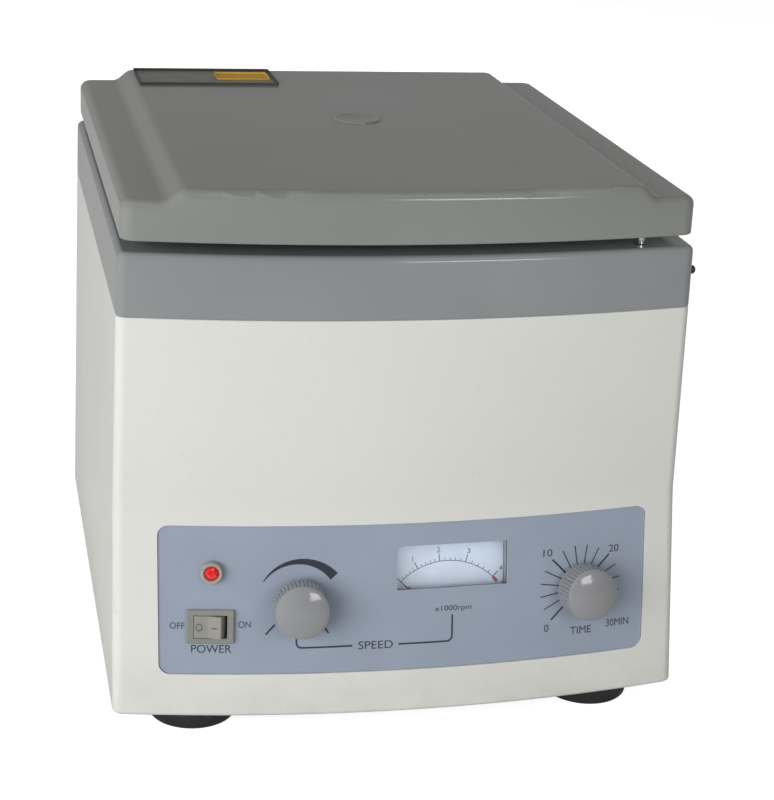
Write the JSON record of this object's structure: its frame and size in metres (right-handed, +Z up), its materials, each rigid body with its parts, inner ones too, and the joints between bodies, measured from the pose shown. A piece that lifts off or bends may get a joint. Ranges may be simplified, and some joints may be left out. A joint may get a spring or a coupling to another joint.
{
  "type": "bench-top laboratory centrifuge",
  "caption": "Bench-top centrifuge: bowed moulded case and hinged lid over a chamber with an angle tube rotor; front panel with switch, lamp, speed and timer knobs and a dial meter.",
  "frame": {"origin": "centre of the footprint at the level the feet stand on", "axes": "+X to the right as seen from the control panel, +Y to the rear, +Z up"},
  "size_m": [0.311, 0.3702, 0.2919],
  "materials": {
    "housing": "gloss off-white, moulded and painted",
    "deck": "high-gloss grey",
    "lid": "high-gloss grey",
    "liner": "satin light grey sheet",
    "seal": "black rubber",
    "base": "dark stove enamel",
    "zinc": "zinc-plated and turned steel",
    "hinge": "plated sheet steel",
    "button": "black moulded plastic",
    "chamber": "spun stainless sheet",
    "rotor": "turned cast aluminium",
    "sleeve": "drawn aluminium",
    "shaft": "ground steel",
    "motor": "dark enamelled steel can",
    "motor_cap": "die-cast end bells",
    "panel": "satin blue-grey screen-printed face",
    "knob": "glossy warm grey",
    "control": "plated control cans",
    "switch": "beige-grey moulded switch",
    "lamp": "red translucent lens",
    "meter": "black meter case",
    "pane": "clear meter pane",
    "scale": "white printed scale",
    "movement": "wound and laminated metal",
    "needle": "black pointer",
    "board": "green circuit board",
    "heat_sink": "black anodised fins",
    "black_plastic": "black moulded fittings"
  },
  "bodies": {
    "case": {"lower_housing": "housing", "upper_housing": "deck", "base_plate": "base", "rubber_feet": "seal", "foot_screws": "zinc", "base_screws": "zinc", "case_hinge_leaves": "hinge", "hinge_pins": "zinc", "case_hinge_screws": "zinc", "latch_body": "button", "rotor_chamber": "chamber", "chamber_boot": "seal", "motor_housing": "motor", "motor_top_cap": "motor_cap", "motor_bottom_cap": "motor_cap", "motor_plate": "base", "motor_dampers": "seal", "motor_posts": "zinc", "control_panel": "panel", "speed_potentiometer": "control", "timer_unit": "control", "bush_nuts": "zinc", "switch_body": "switch", "lamp_bezel": "switch", "lamp_lens": "lamp", "meter_case": "meter", "meter_pane": "pane", "meter_scale": "scale", "meter_movement": "movement", "control_board": "board", "board_standoffs": "zinc", "heat_sink": "heat_sink", "transformer": "movement", "power_inlet": "black_plastic", "inlet_screws": "zinc", "fuse_holder": "black_plastic"},
    "lid": {"lid_shell": "lid", "lid_liner": "liner", "lid_gasket": "seal", "sight_plug": "lid", "lid_hinge_leaves": "hinge", "lid_hinge_screws": "zinc", "latch_striker": "zinc"},
    "rotor": {"rotor_body": "rotor", "rotor_nut": "rotor", "motor_shaft": "shaft", "tube_sleeve_pair_1": "sleeve", "tube_sleeve_pair_2": "sleeve", "tube_sleeve_pair_3": "sleeve", "tube_sleeve_pair_4": "sleeve", "tube_sleeve_pair_5": "sleeve", "tube_sleeve_pair_6": "sleeve"},
    "speed_knob": {"speed_knob": "knob", "speed_knob_shaft": "zinc"},
    "timer_knob": {"timer_knob": "knob", "timer_knob_shaft": "zinc"},
    "rocker": {"switch_rocker": "switch"},
    "needle": {"meter_needle": "needle"},
    "latch": {"latch_slide": "button"}
  },
  "joints": [
    {"name": "lid_hinge", "type": "hinge", "parent": "case", "child": "lid", "pos_m": [0, 0.1818, 0.2606], "axis": [-1, 0, 0], "range_deg": [0, 95]},
    {"name": "rotor_spin", "type": "hinge", "parent": "case", "child": "rotor", "pos_m": [0, 0.0203, 0.15], "axis": [0, 0, 1], "continuous": true},
    {"name": "speed_knob_turn", "type": "hinge", "parent": "case", "child": "speed_knob", "pos_m": [-0.0575, -0.16524, 0.0705], "axis": [0.0717, 0.9837, -0.165], "range_deg": [0, 270]},
    {"name": "timer_knob_turn", "type": "hinge", "parent": "case", "child": "timer_knob", "pos_m": [0.098, -0.16124, 0.0705], "axis": [-0.1222, 0.9787, -0.165], "range_deg": [0, 270]},
    {"name": "power_rocker_tilt", "type": "hinge", "parent": "case", "child": "rocker", "pos_m": [-0.10372, -0.15648, 0.05801], "axis": [0.0217, 0.1636, 0.9863], "range_deg": [0, 20]},
    {"name": "meter_needle_swing", "type": "hinge", "parent": "case", "child": "needle", "pos_m": [0.02469, -0.17001, 0.0522], "axis": [-0.0313, 0.9858, -0.165], "range_deg": [0, 89], "stiffness_Nm_per_rad": 0.0005},
    {"name": "latch_press", "type": "slide", "parent": "case", "child": "latch", "axis": [-1, 0, 0], "range_m": [0, 0.0025], "stiffness_N_per_m": 400, "springref_m": -0.002}
  ]
}
